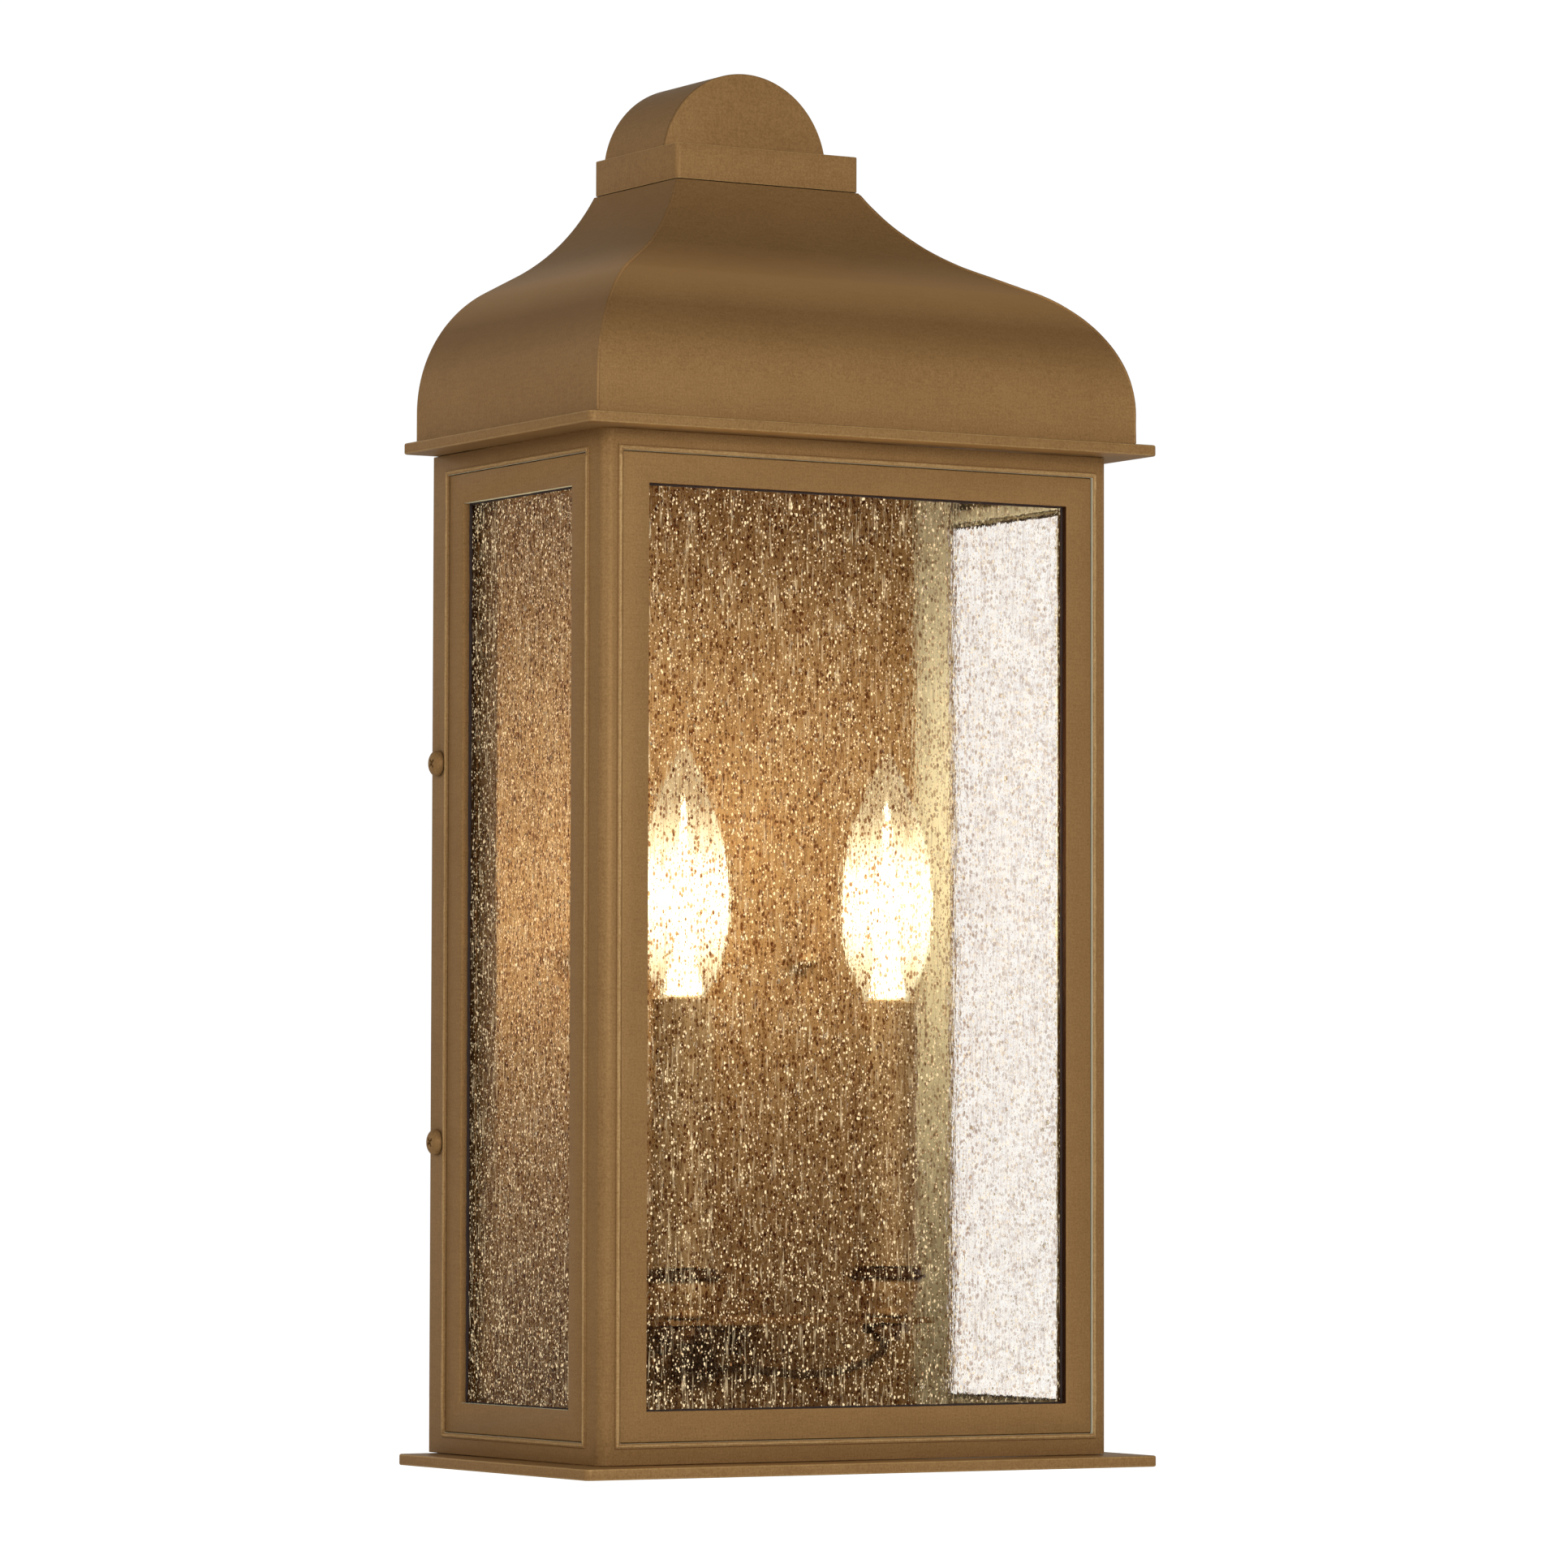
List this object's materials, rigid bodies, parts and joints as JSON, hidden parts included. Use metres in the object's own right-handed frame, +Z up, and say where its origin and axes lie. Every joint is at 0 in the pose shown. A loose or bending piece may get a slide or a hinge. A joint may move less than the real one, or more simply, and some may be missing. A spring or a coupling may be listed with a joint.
{
  "type": "outdoor wall lantern",
  "caption": "Wall lantern with a box cage, seeded-glass windows on three sides, an ogee roof with a half-round cap, and a wall pan that carries candle lamps.",
  "frame": {"origin": "on the wall plane, at the middle of the mounting strap's wall-side face, level with the middle of the cage's height", "axes": "+X to the right as seen from the street, +Y into the wall, +Z up"},
  "size_m": [0.235, 0.1405, 0.5067],
  "materials": {
    "bronze_gold": "satin aged-brass paint with a fine sprayed grain",
    "seeded_glass": "clear, full of small bubbles",
    "bulb_glass": "clear and thin",
    "filament": "glowing",
    "zinc": "zinc plated",
    "green_zinc": "green passivated",
    "brass": "bright",
    "black_plastic": "moulded phenolic",
    "wire_sleeve": "woven glass-fibre sleeve"
  },
  "bodies": {
    "wall_unit": {"wall_pan": "bronze_gold", "mounting_strap": "zinc", "ground_screw": "green_zinc", "wire_bush": "black_plastic", "candle_bracket": "bronze_gold", "candle_sleeve_left": "bronze_gold", "candle_sleeve_right": "bronze_gold", "candle_cup_left": "bronze_gold", "candle_cup_right": "bronze_gold", "lamp_socket_left": "black_plastic", "lamp_socket_right": "black_plastic", "lamp_nipple_left": "zinc", "lamp_nipple_right": "zinc", "nipple_nut_left": "zinc", "nipple_nut_right": "zinc", "pan_stud_left": "zinc", "pan_stud_right": "zinc", "cap_nut_left": "bronze_gold", "cap_nut_right": "bronze_gold", "bracket_rivet_left": "zinc", "bracket_rivet_right": "zinc", "lamp_lead_left": "wire_sleeve", "lamp_lead_right": "wire_sleeve"},
    "cage": {"cage_shell": "bronze_gold", "window_frame_front": "bronze_gold", "window_frame_left": "bronze_gold", "window_frame_right": "bronze_gold", "window_glass_front": "seeded_glass", "window_glass_left": "seeded_glass", "window_glass_right": "seeded_glass", "glass_retainer_front": "bronze_gold", "glass_retainer_left": "bronze_gold", "glass_retainer_right": "bronze_gold", "eave_plate": "bronze_gold", "base_plate": "bronze_gold", "roof_front": "bronze_gold", "roof_left": "bronze_gold", "roof_right": "bronze_gold", "roof_back": "bronze_gold", "roof_collar": "bronze_gold", "dome_barrel": "bronze_gold", "dome_face": "bronze_gold"},
    "bulb_left": {"bulb_cap_left": "brass", "bulb_glass_left": "bulb_glass", "bulb_filament_left": "filament"},
    "bulb_right": {"bulb_cap_right": "brass", "bulb_glass_right": "bulb_glass", "bulb_filament_right": "filament"},
    "screw_left_lower": {"side_screw_left_lower": "bronze_gold"},
    "screw_left_upper": {"side_screw_left_upper": "bronze_gold"},
    "screw_right_lower": {"side_screw_right_lower": "bronze_gold"},
    "screw_right_upper": {"side_screw_right_upper": "bronze_gold"}
  },
  "joints": [
    {"name": "cage_off", "type": "slide", "parent": "wall_unit", "child": "cage", "axis": [0, -1, 0], "range_m": [0, 0.11]},
    {"name": "bulb_left_out", "type": "slide", "parent": "wall_unit", "child": "bulb_left", "axis": [0, 0, 1], "range_m": [0, 0.03]},
    {"name": "bulb_right_out", "type": "slide", "parent": "wall_unit", "child": "bulb_right", "axis": [0, 0, 1], "range_m": [0, 0.03]},
    {"name": "screw_left_lower_out", "type": "slide", "parent": "wall_unit", "child": "screw_left_lower", "axis": [-1, 0, 0], "range_m": [0, 0.004]},
    {"name": "screw_left_upper_out", "type": "slide", "parent": "wall_unit", "child": "screw_left_upper", "axis": [-1, 0, 0], "range_m": [0, 0.004]},
    {"name": "screw_right_lower_out", "type": "slide", "parent": "wall_unit", "child": "screw_right_lower", "axis": [1, 0, 0], "range_m": [0, 0.004]},
    {"name": "screw_right_upper_out", "type": "slide", "parent": "wall_unit", "child": "screw_right_upper", "axis": [1, 0, 0], "range_m": [0, 0.004]}
  ]
}
